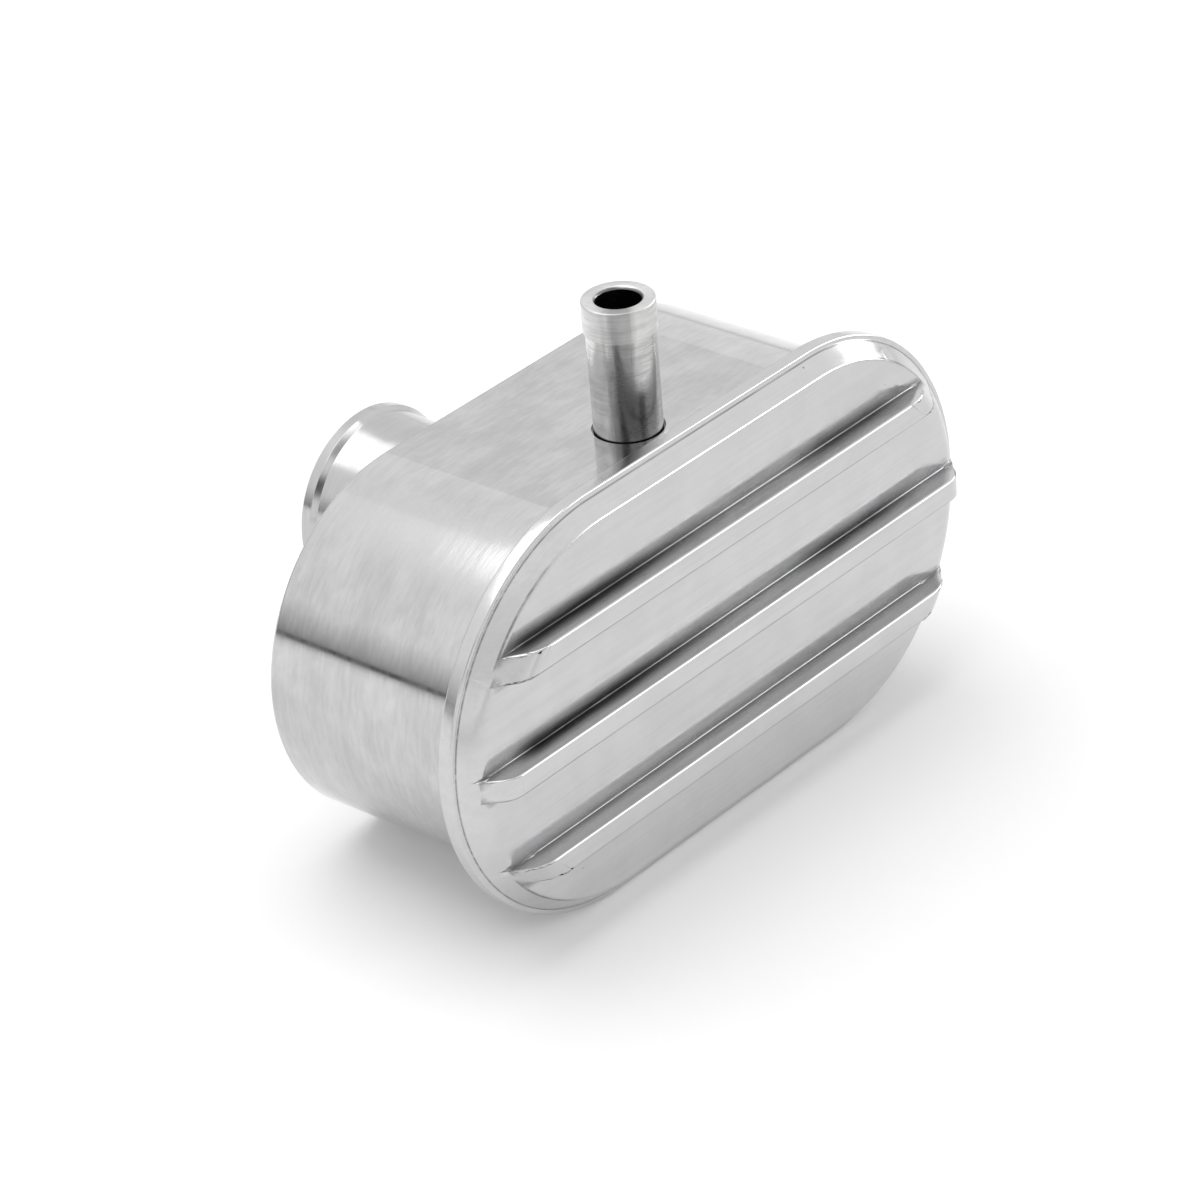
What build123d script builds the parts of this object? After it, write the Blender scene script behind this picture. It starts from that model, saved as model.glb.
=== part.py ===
from build123d import *
import math
import os

# A push-in valve cover breather: a flat-sided oval canister with a finned cover,
# a grommet neck at the back and a hose tube on top. Millimetres.
# The origin is on the neck's axis, in the plane of the canister's back face.
# +Y runs out along the neck, +Z up along the hose tube, X along the oval.
# "forward" is a distance in front of the back face, towards the cover (-Y).

os.makedirs("parts", exist_ok=True)

# Cover
cover_length = 107.0
cover_height = 61.0
rim_thickness = 2.1
rim_land = 0.7
rim_edge_chamfer = 0.2
crest_rise = 5.65
slope_run = 5.2
floor_rise = 2.45
rib_count = 3
rib_pitch = 15.6
rib_width = 3.3
rib_edge_radius = 0.3
end_crease_radius = 2.5
pocket_depth = 1.5
register_depth = 3.5
register_wall = 2.0
register_clearance = 0.15

# Canister
rim_overhang = 4.3
canister_depth = 33.3
wall = 2.5
back_wall = 3.0
back_edge_chamfer = 0.4
ledge_width = 2.5
gasket_thickness = 0.6

# Screws that draw the cover to the canister
cover_screw_inset = 9.7
cover_screw_d = 4.0
cover_screw_head_d = 8.0
cover_screw_length = 25.0
cover_screw_socket_af = 2.5
cover_screw_socket_depth = 1.3
boss_d = 9.0
thread_clearance = 0.04
thread_spare = 1.5
screw_hole_clearance = 0.15

# Neck that pushes into the grommet
neck_d = 25.4
neck_bore_d = 22.2
neck_reach = 27.8
neck_fit = 0.05
neck_mouth_chamfer = 0.4
lip_d = 28.4
lip_land = 1.5
lip_chamfer = 0.8
lip_shoulder = 0.8
flare_d = 27.2
flare_length = 14.0
neck_flange_thickness = 1.5
neck_flange_margin = 1.0
neck_gasket_thickness = 0.5

# Splash baffle on the neck's flange
baffle_gap = 2.8
baffle_thickness = 0.8
neck_screw_count = 3
neck_screw_d = 3.0
neck_screw_head_d = 5.4
neck_screw_head_height = 1.3
neck_screw_head_chamfer = 0.3
neck_screw_socket_af = 2.0
neck_screw_socket_depth = 0.8
neck_screw_grip = 2.2
spacer_wall = 0.9
head_clearance = 0.3

# Filter pack
screen_thickness = 0.6
pad_thickness = 5.2
pack_clearance = 0.3
slot_width = 3.0
slot_length = 10.0
slot_pitch = 6.0
slot_row_pitch = 13.0
slot_rows = 3

# Hose tube
tube_d = 9.5
tube_bore_d = 6.2
tube_reach = 19.3
collar_d = 10.1
collar_length = 4.5
collar_chamfer = 0.15
tube_mouth_chamfer = 0.35
tube_fit = 0.02
tube_relief_gap = 0.28
tube_relief_depth = 1.8
tube_flange_width = 1.5
tube_flange_thickness = 1.2
tube_boss_depth = 2.2
tube_boss_margin = 0.3

# Outline radii: every oval shares the two end centres
end_radius = cover_height / 2
end_centre = (cover_length - cover_height) / 2
canister_radius = end_radius - rim_overhang
cavity_radius = canister_radius - wall
rear_cavity_radius = cavity_radius - ledge_width
register_radius = cavity_radius - register_clearance
pocket_radius = register_radius - register_wall
pack_radius = cavity_radius - pack_clearance

# Stations forward of the back face
neck_flange_back = back_wall + neck_gasket_thickness
neck_flange_front = neck_flange_back + neck_flange_thickness
baffle_back = neck_flange_front + baffle_gap
baffle_front = baffle_back + baffle_thickness
neck_screw_top = baffle_front + neck_screw_head_height
ledge = neck_screw_top + head_clearance
pad_back = ledge + screen_thickness
pad_front = pad_back + pad_thickness
pack_front = pad_front + screen_thickness
rim_back = canister_depth + gasket_thickness
rim_front = rim_back + rim_thickness
register_end = rim_back - register_depth
tube_forward = (pack_front + register_end) / 2

# Radii and places worked out from the sizes above
slope_angle = math.degrees(math.atan(slope_run / crest_rise))
cover_screw_x = end_centre + cavity_radius - cover_screw_inset
cover_screw_r = cover_screw_d / 2
cover_screw_head_r = cover_screw_head_d / 2
cover_screw_cone = cover_screw_head_r - cover_screw_r
cover_screw_hole_r = cover_screw_r + screw_hole_clearance
neck_r = neck_d / 2
neck_bore_r = neck_bore_d / 2
lip_r = lip_d / 2
lip_back = neck_reach - lip_chamfer - lip_land
flare_end = lip_back - lip_shoulder
neck_screw_r = neck_screw_d / 2
neck_screw_hole_r = neck_screw_r + screw_hole_clearance
neck_screw_tip = back_wall - neck_screw_grip
spacer_r = neck_screw_hole_r + spacer_wall
neck_screw_circle = neck_r + spacer_r
neck_flange_r = neck_screw_circle + spacer_r + neck_flange_margin
neck_hole_r = neck_r + neck_fit
tube_r = tube_d / 2
tube_bore_r = tube_bore_d / 2
collar_r = collar_d / 2
tube_flange_r = tube_r + tube_flange_width
tube_boss_r = tube_flange_r + tube_boss_margin
tube_seat = cavity_radius - tube_boss_depth
tube_top = canister_radius + tube_reach
slot_columns = 1 + int((2 * cover_screw_x - boss_d - slot_width) / slot_pitch)


def station(forward):
    """Plane parallel to the cover's face, facing forward."""
    return Plane.XZ.offset(forward)


def oval(radius, mode=Mode.ADD):
    """Flat-sided oval about the two end centres, in the sketch that is open."""
    return SlotCenterToCenter(2 * end_centre, 2 * radius, mode=mode)


# Finned cover
with BuildPart() as finned_cover:
    with BuildSketch(station(rim_back)):
        oval(end_radius)
    extrude(amount=rim_thickness)
    chamfer(finned_cover.faces().filter_by(Axis.Y).edges(), rim_edge_chamfer)
    with BuildSketch(station(rim_front)):
        oval(end_radius - rim_land)
    extrude(amount=crest_rise, taper=slope_angle)
    # the valleys between the ribs run out through the sloping border
    with BuildSketch(station(rim_front + floor_rise)):
        Rectangle(cover_length, cover_height)
        with GridLocations(0, rib_pitch, 1, rib_count):
            Rectangle(cover_length, rib_width, mode=Mode.SUBTRACT)
    extrude(amount=crest_rise, mode=Mode.SUBTRACT)
    # the mop ran over the round ends of the inner valleys and left their creases soft
    floors = finned_cover.faces().filter_by(Plane.XZ).group_by(Axis.Y)[1]
    inner_floors = floors.sort_by(Axis.Z)[1:-1]
    fillet(inner_floors.edges().filter_by(GeomType.LINE, reverse=True), end_crease_radius)
    crests = finned_cover.faces().sort_by(Axis.Y)[:rib_count]
    fillet(crests.edges(), rib_edge_radius)
    # lightening pocket behind the plate
    with BuildSketch(station(rim_back)):
        oval(pocket_radius)
    extrude(amount=pocket_depth, mode=Mode.SUBTRACT)
    # register lip that drops into the canister's mouth
    with BuildSketch(station(register_end)):
        oval(register_radius)
        oval(pocket_radius, mode=Mode.SUBTRACT)
    extrude(amount=register_depth)
    # tapped bosses, which also hold the filter pack down on its ledge
    with BuildSketch(station(pack_front)):
        with GridLocations(2 * cover_screw_x, 0, 2, 1):
            Circle(boss_d / 2)
    extrude(amount=rim_back + pocket_depth - pack_front)
    with BuildSketch(station(pack_front)):
        with GridLocations(2 * cover_screw_x, 0, 2, 1):
            Circle(cover_screw_r + thread_clearance)
    extrude(amount=cover_screw_length + thread_spare - pack_front, mode=Mode.SUBTRACT)
finned_cover.part.label = "finned_cover"
export_step(finned_cover.part, "parts/finned_cover.step")

# Canister: an oval cup, open at the cover and closed by its back wall
with BuildPart() as canister_body:
    with BuildSketch(station(0)):
        oval(canister_radius)
    extrude(amount=canister_depth)
    back_face = canister_body.faces().sort_by(Axis.Y)[-1]
    chamfer(back_face.edges(), back_edge_chamfer)
    with BuildSketch(station(ledge)):
        oval(cavity_radius)
    extrude(amount=canister_depth - ledge, mode=Mode.SUBTRACT)
    with BuildSketch(station(back_wall)):
        oval(rear_cavity_radius)
    extrude(amount=ledge - back_wall, mode=Mode.SUBTRACT)
    # boss under the top wall, bored for the hose tube and relieved at its mouth
    with BuildSketch(Plane((0, -tube_forward, tube_seat))):
        Circle(tube_boss_r)
    extrude(amount=tube_boss_depth + wall / 2)
    with BuildSketch(Plane((0, -tube_forward, tube_seat))):
        Circle(tube_r + tube_fit)
    extrude(amount=tube_boss_depth + wall, mode=Mode.SUBTRACT)
    with BuildSketch(Plane((0, -tube_forward, canister_radius - tube_relief_depth))):
        Circle(tube_r + tube_relief_gap)
    extrude(amount=tube_relief_depth, mode=Mode.SUBTRACT)
    # hole for the neck
    with BuildSketch(station(0)):
        Circle(neck_hole_r)
    extrude(amount=back_wall, mode=Mode.SUBTRACT)
    # blind tapped holes for the neck screws
    with BuildSketch(station(neck_screw_tip)):
        with PolarLocations(neck_screw_circle, neck_screw_count, start_angle=90):
            Circle(neck_screw_r + thread_clearance)
    extrude(amount=neck_screw_grip, mode=Mode.SUBTRACT)
    # countersunk holes for the cover screws
    with Locations(Plane.back):
        with GridLocations(2 * cover_screw_x, 0, 2, 1):
            CounterSinkHole(
                cover_screw_hole_r,
                cover_screw_head_r + thread_clearance,
                depth=back_wall,
                counter_sink_angle=90,
            )
canister_body.part.label = "canister_body"
export_step(canister_body.part, "parts/canister_body.step")

# Gasket between the rim and the canister's mouth
with BuildPart() as cover_gasket:
    with BuildSketch(station(canister_depth)):
        oval(canister_radius)
        oval(cavity_radius, mode=Mode.SUBTRACT)
    extrude(amount=gasket_thickness)
cover_gasket.part.label = "cover_gasket"
export_step(cover_gasket.part, "parts/cover_gasket.step")

# Countersunk socket screws through the back wall into the cover's bosses
for side, screw_x in (("left", -cover_screw_x), ("right", cover_screw_x)):
    with BuildPart() as cover_screw:
        with BuildSketch(Plane((screw_x, 0, 0))):
            with BuildLine():
                Polyline(
                    (0, 0),
                    (cover_screw_head_r, 0),
                    (cover_screw_r, -cover_screw_cone),
                    (cover_screw_r, -cover_screw_length),
                    (0, -cover_screw_length),
                    close=True,
                )
            make_face()
        revolve(axis=Axis((screw_x, 0, 0), (0, 1, 0)))
        with BuildSketch(Plane((screw_x, 0, 0), z_dir=(0, -1, 0))):
            RegularPolygon(cover_screw_socket_af / 2, 6, major_radius=False)
        extrude(amount=cover_screw_socket_depth, mode=Mode.SUBTRACT)
    cover_screw.part.label = "cover_screw_" + side
    export_step(cover_screw.part, "parts/cover_screw_" + side + ".step")

# Neck: a turned tube with a flange inside the canister and a lip that holds the grommet
with BuildPart() as neck_tube:
    with BuildSketch(Plane.XY):
        with BuildLine():
            Polyline(
                (neck_bore_r, -neck_flange_front),
                (neck_flange_r, -neck_flange_front),
                (neck_flange_r, -neck_flange_back),
                (neck_r, -neck_flange_back),
                (neck_r, flare_end - flare_length),
                (flare_d / 2, flare_end),
                (lip_r, lip_back),
                (lip_r, neck_reach - lip_chamfer),
                (lip_r - lip_chamfer, neck_reach),
                (neck_bore_r + neck_mouth_chamfer, neck_reach),
                (neck_bore_r, neck_reach - neck_mouth_chamfer),
                close=True,
            )
        make_face()
    revolve(axis=Axis.Y)
    with BuildSketch(station(neck_flange_back)):
        with PolarLocations(neck_screw_circle, neck_screw_count, start_angle=90):
            Circle(neck_screw_hole_r)
    extrude(amount=neck_flange_thickness, mode=Mode.SUBTRACT)
neck_tube.part.label = "neck_tube"
export_step(neck_tube.part, "parts/neck_tube.step")

# Gasket under the neck's flange
with BuildPart() as neck_gasket:
    with BuildSketch(station(back_wall)):
        Circle(neck_flange_r)
        Circle(neck_hole_r, mode=Mode.SUBTRACT)
        with PolarLocations(neck_screw_circle, neck_screw_count, start_angle=90):
            Circle(neck_screw_hole_r, mode=Mode.SUBTRACT)
    extrude(amount=neck_gasket_thickness)
neck_gasket.part.label = "neck_gasket"
export_step(neck_gasket.part, "parts/neck_gasket.step")

# Splash baffle that keeps thrown oil out of the filter
with BuildPart() as baffle_plate:
    with BuildSketch(station(baffle_back)):
        Circle(neck_flange_r)
        with PolarLocations(neck_screw_circle, neck_screw_count, start_angle=90):
            Circle(neck_screw_hole_r, mode=Mode.SUBTRACT)
    extrude(amount=baffle_thickness)
baffle_plate.part.label = "baffle_plate"
export_step(baffle_plate.part, "parts/baffle_plate.step")

# Screws and spacers that hold the baffle off the flange, and the flange to the back wall
screw_places = PolarLocations(neck_screw_circle, neck_screw_count, start_angle=90).locations
for number, place in enumerate(screw_places, start=1):
    across = place.position.X
    up = place.position.Y
    with BuildPart() as baffle_spacer:
        with BuildSketch(station(neck_flange_front)):
            with Locations((across, up)):
                Circle(spacer_r)
                Circle(neck_screw_hole_r, mode=Mode.SUBTRACT)
        extrude(amount=baffle_gap)
    baffle_spacer.part.label = "baffle_spacer_" + str(number)
    export_step(baffle_spacer.part, "parts/baffle_spacer_" + str(number) + ".step")

    with BuildPart() as neck_screw:
        with BuildSketch(station(neck_screw_tip)):
            with Locations((across, up)):
                Circle(neck_screw_r)
        extrude(amount=baffle_front - neck_screw_tip)
        with BuildSketch(station(baffle_front)):
            with Locations((across, up)):
                Circle(neck_screw_head_d / 2)
        extrude(amount=neck_screw_head_height)
        head_top = neck_screw.faces().sort_by(Axis.Y)[0]
        chamfer(head_top.edges(), neck_screw_head_chamfer)
        with BuildSketch(station(neck_screw_top - neck_screw_socket_depth)):
            with Locations((across, up)):
                RegularPolygon(neck_screw_socket_af / 2, 6, major_radius=False)
        extrude(amount=neck_screw_socket_depth, mode=Mode.SUBTRACT)
    neck_screw.part.label = "neck_screw_" + str(number)
    export_step(neck_screw.part, "parts/neck_screw_" + str(number) + ".step")

# Slotted screens either side of the filter pad
for name, screen_back in (("rear_screen", ledge), ("front_screen", pad_front)):
    with BuildPart() as screen:
        with BuildSketch(station(screen_back)):
            oval(pack_radius)
            with GridLocations(2 * cover_screw_x, 0, 2, 1):
                Circle(cover_screw_hole_r, mode=Mode.SUBTRACT)
            with GridLocations(slot_pitch, slot_row_pitch, slot_columns, slot_rows):
                Rectangle(slot_width, slot_length, mode=Mode.SUBTRACT)
        extrude(amount=screen_thickness)
    screen.part.label = name
    export_step(screen.part, "parts/" + name + ".step")

# Filter pad that catches the oil mist
with BuildPart() as filter_pad:
    with BuildSketch(station(pad_back)):
        oval(pack_radius)
        with GridLocations(2 * cover_screw_x, 0, 2, 1):
            Circle(cover_screw_hole_r, mode=Mode.SUBTRACT)
    extrude(amount=pad_thickness)
filter_pad.part.label = "filter_pad"
export_step(filter_pad.part, "parts/filter_pad.step")

# Hose tube: pressed up through the boss until its flange seats
with BuildPart() as hose_tube:
    with BuildSketch(station(tube_forward)):
        with BuildLine():
            Polyline(
                (tube_bore_r, tube_seat - tube_flange_thickness),
                (tube_flange_r, tube_seat - tube_flange_thickness),
                (tube_flange_r, tube_seat),
                (tube_r, tube_seat),
                (tube_r, tube_top - collar_length),
                (collar_r, tube_top - collar_length),
                (collar_r, tube_top - collar_chamfer),
                (collar_r - collar_chamfer, tube_top),
                (tube_bore_r + tube_mouth_chamfer, tube_top),
                (tube_bore_r, tube_top - tube_mouth_chamfer),
                close=True,
            )
        make_face()
    revolve(axis=Axis((0, -tube_forward, 0), (0, 0, 1)))
hose_tube.part.label = "hose_tube"
export_step(hose_tube.part, "parts/hose_tube.step")
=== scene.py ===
import math

import bpy
from mathutils import Matrix, Vector


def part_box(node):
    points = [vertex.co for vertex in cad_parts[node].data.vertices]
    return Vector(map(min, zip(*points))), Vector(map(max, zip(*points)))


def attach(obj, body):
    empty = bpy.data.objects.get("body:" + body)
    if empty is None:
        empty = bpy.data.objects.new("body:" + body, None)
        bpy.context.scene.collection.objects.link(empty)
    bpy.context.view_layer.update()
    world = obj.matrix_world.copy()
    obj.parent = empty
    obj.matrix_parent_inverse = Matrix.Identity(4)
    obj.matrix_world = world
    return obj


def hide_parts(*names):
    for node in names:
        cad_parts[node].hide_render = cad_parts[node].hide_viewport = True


bl_info = {
    "name": "Valve cover breather finish",
    "version": (1, 0, 0),
    "blender": (4, 5, 0),
    "location": "3D View > Sidebar > Breather",
    "description": "Polished cover, canister, neck and hose tube of a push-in valve cover breather",
    "category": "Object",
}

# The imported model, in metres. The neck runs along Y, the hose tube along Z, the oval along X.
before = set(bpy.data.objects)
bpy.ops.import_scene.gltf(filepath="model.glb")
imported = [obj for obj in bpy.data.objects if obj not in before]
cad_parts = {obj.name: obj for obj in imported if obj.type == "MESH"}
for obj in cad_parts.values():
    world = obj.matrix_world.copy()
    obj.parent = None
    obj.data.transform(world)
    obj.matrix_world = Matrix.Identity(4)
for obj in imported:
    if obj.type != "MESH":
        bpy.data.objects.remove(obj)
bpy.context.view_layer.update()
MM = 0.001
SHARP_ANGLE = math.radians(38)

cover_low, cover_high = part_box("finned_cover")
can_low, can_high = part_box("canister_body")
neck_low, neck_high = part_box("neck_tube")
tube_low, tube_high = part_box("hose_tube")
screw_low, screw_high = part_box("cover_screw_right")
neck_screw_low, neck_screw_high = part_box("neck_screw_1")

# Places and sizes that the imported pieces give
END_RADIUS = cover_high.z
END_CENTRE = cover_high.x - END_RADIUS
CAN_RADIUS = can_high.z
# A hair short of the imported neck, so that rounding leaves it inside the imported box
NECK_END = neck_high.y - 0.001 * MM
SCREW_X = (screw_low.x + screw_high.x) / 2
TUBE_Y = (tube_low.y + tube_high.y) / 2
NECK_SCREW_CIRCLE = (neck_screw_low.z + neck_screw_high.z) / 2

# Fits and hidden sizes that no setting changes
GASKET = 0.6 * MM
RIM_BACK = can_low.y - GASKET
REGISTER_CLEARANCE = 0.15 * MM
REGISTER_WALL = 2.0 * MM
REGISTER_DEPTH = 3.5 * MM
POCKET_DEPTH = 1.5 * MM
BOSS_RADIUS = 4.5 * MM
TAPPED_RADIUS = 2.04 * MM
RIM_EDGE = 0.25 * MM
CLEAR_RADIUS = 2.15 * MM
COUNTERSINK_RADIUS = 4.04 * MM
COUNTERSINK_DEPTH = 1.89 * MM
NECK_HOLE_RADIUS = 12.75 * MM
NECK_FLANGE = 1.5 * MM
NECK_SCREW_RADIUS = 1.65 * MM
NECK_MOUTH_CHAMFER = 0.4 * MM
NECK_EDGE = 0.08 * MM
TUBE_FLANGE = 1.2 * MM
TUBE_SEAT = tube_low.z + TUBE_FLANGE
TUBE_BOSS_RADIUS = 6.55 * MM
TUBE_CLEARANCE = 0.02 * MM
TUBE_RELIEF = 0.28 * MM
TUBE_RELIEF_DEPTH = 1.8 * MM
TUBE_TOP_CHAMFER = 0.15 * MM
TUBE_MOUTH_CHAMFER = 0.35 * MM
TUBE_EDGE = 0.06 * MM
EDGE_BREAK_ANGLE = math.radians(25)

# Clearance of a valley's floor from the slope, and how far its cutter reaches under the slope's foot
VALLEY_CLEARANCE = 0.025 * MM
VALLEY_OVERLAP = 0.3 * MM
# How near the floor and the soft ends the mop still rounded a rib's edges
MOP_REACH = 0.5 * MM
MOP_MARGIN = 0.5 * MM

# Tolerances: how near a point lies to a plane, and how near to an oval, to count as on it
NEAR = 0.02 * MM
NEAR_OVAL = 0.05 * MM
DOUBLES = 0.001 * MM

# The breather lies on the rear edge of its rim and the canister's back edge
REST_TILT = math.radians(7.271)
REST_DEPTH = 25.939 * MM
# Camera that sees the breather as the photograph does
CAMERA_PLACE = (-0.44416, -0.42508, 0.34480)
CAMERA_RIGHT = (0.64297, -0.76209, -0.07623)
CAMERA_UP = (0.42519, 0.27240, 0.86314)
# Direction from the object to the camera, on the plane of the floor
TOWARDS_CAMERA = (-0.73516, -0.67788)
# The lamp's height over the part's origin, its shift from there and its side
LAMP_HEIGHT = 0.9
LAMP_SHIFT = (-0.07, 0.33, 0.0)
LAMP_SIZE = 0.9
# How brightly the softbox shows, and the share of the studio that lights matt surfaces
SOFTBOX_STRENGTH = 4.5
UNSEEN_SHARE = 0.6
FLOOR_GLOW = 0.12

# Painted shade on the cover. The first two are distances from a corner beside a rib over which the painted
# shade fades.
CORNER_SHADE_REACH = (0.1 * MM, 1.8 * MM)
DEEP_SHADE_REACH = (0.1 * MM, 2.5 * MM)
RAGGED_DEPTH = 1.6 * MM
RAGGED_RANGE = (0.3, 0.6)
# Deeper painted shade lies over the upper two ribs: from their left ends to the middle, and near their
# right ends
UPPER_RIBS = (-8.0 * MM, -6.0 * MM)
DEEP_SHADE_STARTS = (-45.0 * MM, -39.0 * MM)
DEEP_SHADE_FADES = (-26.0 * MM, 6.0 * MM)
FAR_DEEP_SHADE = (18.0 * MM, 38.0 * MM)
# Thin lines of painted shade under the ribs' lower edges and, towards the ends, in the outer valleys'
# creases
LOWER_EDGE_LINE = (0.15 * MM, 0.38 * MM)
CREASE_LINE = (-0.3 * MM, -0.08 * MM)
CREASE_STARTS = (30.0 * MM, 38.0 * MM)
LINE_SOFTNESS = 0.05 * MM

# The painted dark reflection on the hose tube, to the left and right of its front, and the fade at its
# collar
DARK_REFLECTION_PLACE = (-2.2 * MM, 1.7 * MM)
DARK_REFLECTION_SOFTNESS = 0.9 * MM
DARK_REFLECTION_RAGGED = 2.6 * MM
COLLAR_FADE = 0.3 * MM

# Colours, and pairs of them between which a finish varies
WHITE = (1, 1, 1, 1)
FLOOR_COLOUR = (0.95, 0.95, 0.95, 1)
CLEAN_STEEL = (0.95, 0.95, 0.945, 1)
ZINC = (0.5, 0.5, 0.49)
BARE_SHEET = (0.6, 0.6, 0.6)
RUBBER = ((0.015, 0.015, 0.015, 1), (0.04, 0.04, 0.04, 1))
FIBRE = ((0.3, 0.28, 0.24, 1), (0.72, 0.7, 0.64, 1))


def length_property(name, description, default):
    """Length in metres, shown in the file's unit."""
    return bpy.props.FloatProperty(
        name=name, description=description, default=default, min=0.0, unit="LENGTH", precision=5
    )


def grey_property(name, description, default):
    """Colour of a metal or of another finish."""
    return bpy.props.FloatVectorProperty(
        name=name, description=description, default=default, min=0.0, max=1.0, size=3, subtype="COLOR"
    )


class BreatherCoverSettings(bpy.types.PropertyGroup):
    """Sizes of the finned cover."""

    rim_thickness: length_property("Rim thickness", "Depth of the flat rim", 2.1 * MM)
    rim_land: length_property("Rim land", "Flat ring between the rim's edge and the slope", 0.7 * MM)
    slope_run: length_property("Slope run", "Width of the sloping border up to the ribs", 5.2 * MM)
    floor_rise: length_property("Floor rise", "Height of the valley floors over the rim", 2.45 * MM)
    rib_pitch: length_property("Rib pitch", "Distance between the ribs", 15.6 * MM)
    rib_width: length_property("Rib width", "Width of a rib's top", 3.3 * MM)
    edge: length_property("Edge", "Rounding that the polishing left on an edge", 0.32 * MM)
    corner: length_property("Corner", "Rounding left in the corners beside the ribs", 0.18 * MM)
    soft_edge: length_property("Soft edge", "Rounding where the mop ran over an edge", 1.7 * MM)


class BreatherCanisterSettings(bpy.types.PropertyGroup):
    """Sizes of the canister."""

    wall: length_property("Wall", "Thickness of the side wall", 2.5 * MM)
    back_wall: length_property("Back wall", "Thickness of the back wall", 3.0 * MM)
    ledge: length_property("Ledge", "Depth of the filter's ledge inside the back face", 10.2 * MM)
    ledge_width: length_property("Ledge width", "Width of the filter's ledge", 2.5 * MM)
    back_edge: length_property("Back edge", "Rounding of the edge round the back face", 0.5 * MM)


class BreatherNeckSettings(bpy.types.PropertyGroup):
    """Sizes of the grommet neck."""

    bore: length_property("Bore radius", "Radius of the neck's bore", 11.1 * MM)
    barrel: length_property("Barrel radius", "Radius that the grommet grips", 12.7 * MM)
    flare: length_property("Flare radius", "Radius in front of the lip", 13.6 * MM)
    flare_length: length_property("Flare length", "Length over which the barrel widens", 14.0 * MM)
    lip: length_property("Lip radius", "Radius of the lip behind the grommet", 14.2 * MM)
    lip_land: length_property("Lip land", "Width of the lip's outer band", 1.5 * MM)
    chamfer: length_property("Lip chamfer", "Chamfer on both sides of the lip", 0.8 * MM)


class BreatherTubeSettings(bpy.types.PropertyGroup):
    """Sizes of the hose tube."""

    bore: length_property("Bore radius", "Radius of the tube's bore", 3.1 * MM)
    barrel: length_property("Barrel radius", "Radius of the tube", 4.75 * MM)
    collar: length_property("Collar radius", "Radius of the collar at the mouth", 5.05 * MM)
    collar_length: length_property("Collar length", "Length of the collar", 4.5 * MM)


class BreatherFinishSettings(bpy.types.PropertyGroup):
    """Colours and gloss of the finishes."""

    cover_colour: grey_property("Cover", "Polished aluminium of the cover", (0.59, 0.59, 0.595))
    canister_colour: grey_property("Canister", "Brushed aluminium of the canister", (0.56, 0.56, 0.565))
    neck_colour: grey_property("Neck", "Turned aluminium of the neck", (0.52, 0.52, 0.525))
    tube_colour: grey_property("Tube", "Turned metal of the hose tube", (0.64, 0.64, 0.635))
    gloss: bpy.props.FloatProperty(
        name="Roughness", description="Roughness of the polished metal", default=0.16, min=0.0, max=1.0
    )


class BreatherStageSettings(bpy.types.PropertyGroup):
    """Floor, light and camera."""

    floor_size: length_property("Floor size", "Side of the square floor", 6.0)
    lamp_power: bpy.props.FloatProperty(
        name="Lamp power", description="Power of the overhead lamp", default=6.0, min=0.0, unit="POWER"
    )
    lens: bpy.props.FloatProperty(name="Lens", description="Focal length in mm", default=152.0, min=1.0)


# Small helpers for work in edit mode
def set_mode(mode):
    """Enters or leaves edit mode."""
    bpy.ops.object.mode_set(mode=mode)


def deselect_all():
    """Leaves edit mode and deselects every object."""
    if bpy.context.mode != "OBJECT":
        set_mode("OBJECT")
    bpy.ops.object.select_all(action="DESELECT")


def choose(*pieces):
    """Selects these objects alone. The last one is active."""
    deselect_all()
    for piece in pieces:
        piece.select_set(True)
        bpy.context.view_layer.objects.active = piece


def select_parts(piece, kind, test):
    """Enters edit mode with the points or edges selected that pass the test, and counts them.

    The test gets a point's place, or the places of an edge's two ends."""
    choose(piece)
    set_mode("EDIT")
    bpy.ops.mesh.select_mode(type=kind)
    bpy.ops.mesh.select_all(action="DESELECT")
    set_mode("OBJECT")
    points = piece.data.vertices
    count = 0
    for part in points if kind == "VERT" else piece.data.edges:
        places = [part] if kind == "VERT" else [points[number] for number in part.vertices]
        part.select = test(*(point.co for point in places))
        count += part.select
    set_mode("EDIT")
    return count


def round_edges(piece, width, segments, test):
    """Rounds the edges of a piece that pass the test."""
    if not select_parts(piece, "EDGE", test):
        raise RuntimeError("no edge of " + piece.name + " to round")
    bpy.ops.mesh.bevel(offset=width, segments=segments, affect="EDGES", clamp_overlap=False)
    set_mode("OBJECT")


def point_outwards(piece):
    """Merges doubles and turns every face outwards."""
    choose(piece)
    set_mode("EDIT")
    bpy.ops.mesh.select_all(action="SELECT")
    bpy.ops.mesh.remove_doubles(threshold=DOUBLES)
    bpy.ops.mesh.normals_make_consistent(inside=False)
    set_mode("OBJECT")


def apply_modifier(piece, kind, **settings):
    """Adds a modifier with these settings and applies it."""
    choose(piece)
    modifier = piece.modifiers.new(kind.title(), kind)
    for name, value in settings.items():
        setattr(modifier, name, value)
    bpy.ops.object.modifier_apply(modifier=modifier.name)


def break_edges(piece, width):
    """Takes the sharpness off every edge of a turned piece."""
    apply_modifier(
        piece, "BEVEL", width=width, segments=2, limit_method="ANGLE", angle_limit=EDGE_BREAK_ANGLE
    )


def combine(piece, operation, tool):
    """Cuts a tool out of a piece, or adds it to the piece, and deletes the tool."""
    apply_modifier(piece, "BOOLEAN", operation=operation, solver="EXACT", object=tool)
    bpy.data.objects.remove(tool)


def finish_surface(piece):
    """Shades a piece smooth between its sharp edges, with flat faces kept flat."""
    choose(piece)
    bpy.ops.object.shade_smooth_by_angle(angle=SHARP_ANGLE)
    apply_modifier(piece, "WEIGHTED_NORMAL", keep_sharp=True, weight=60)


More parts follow.
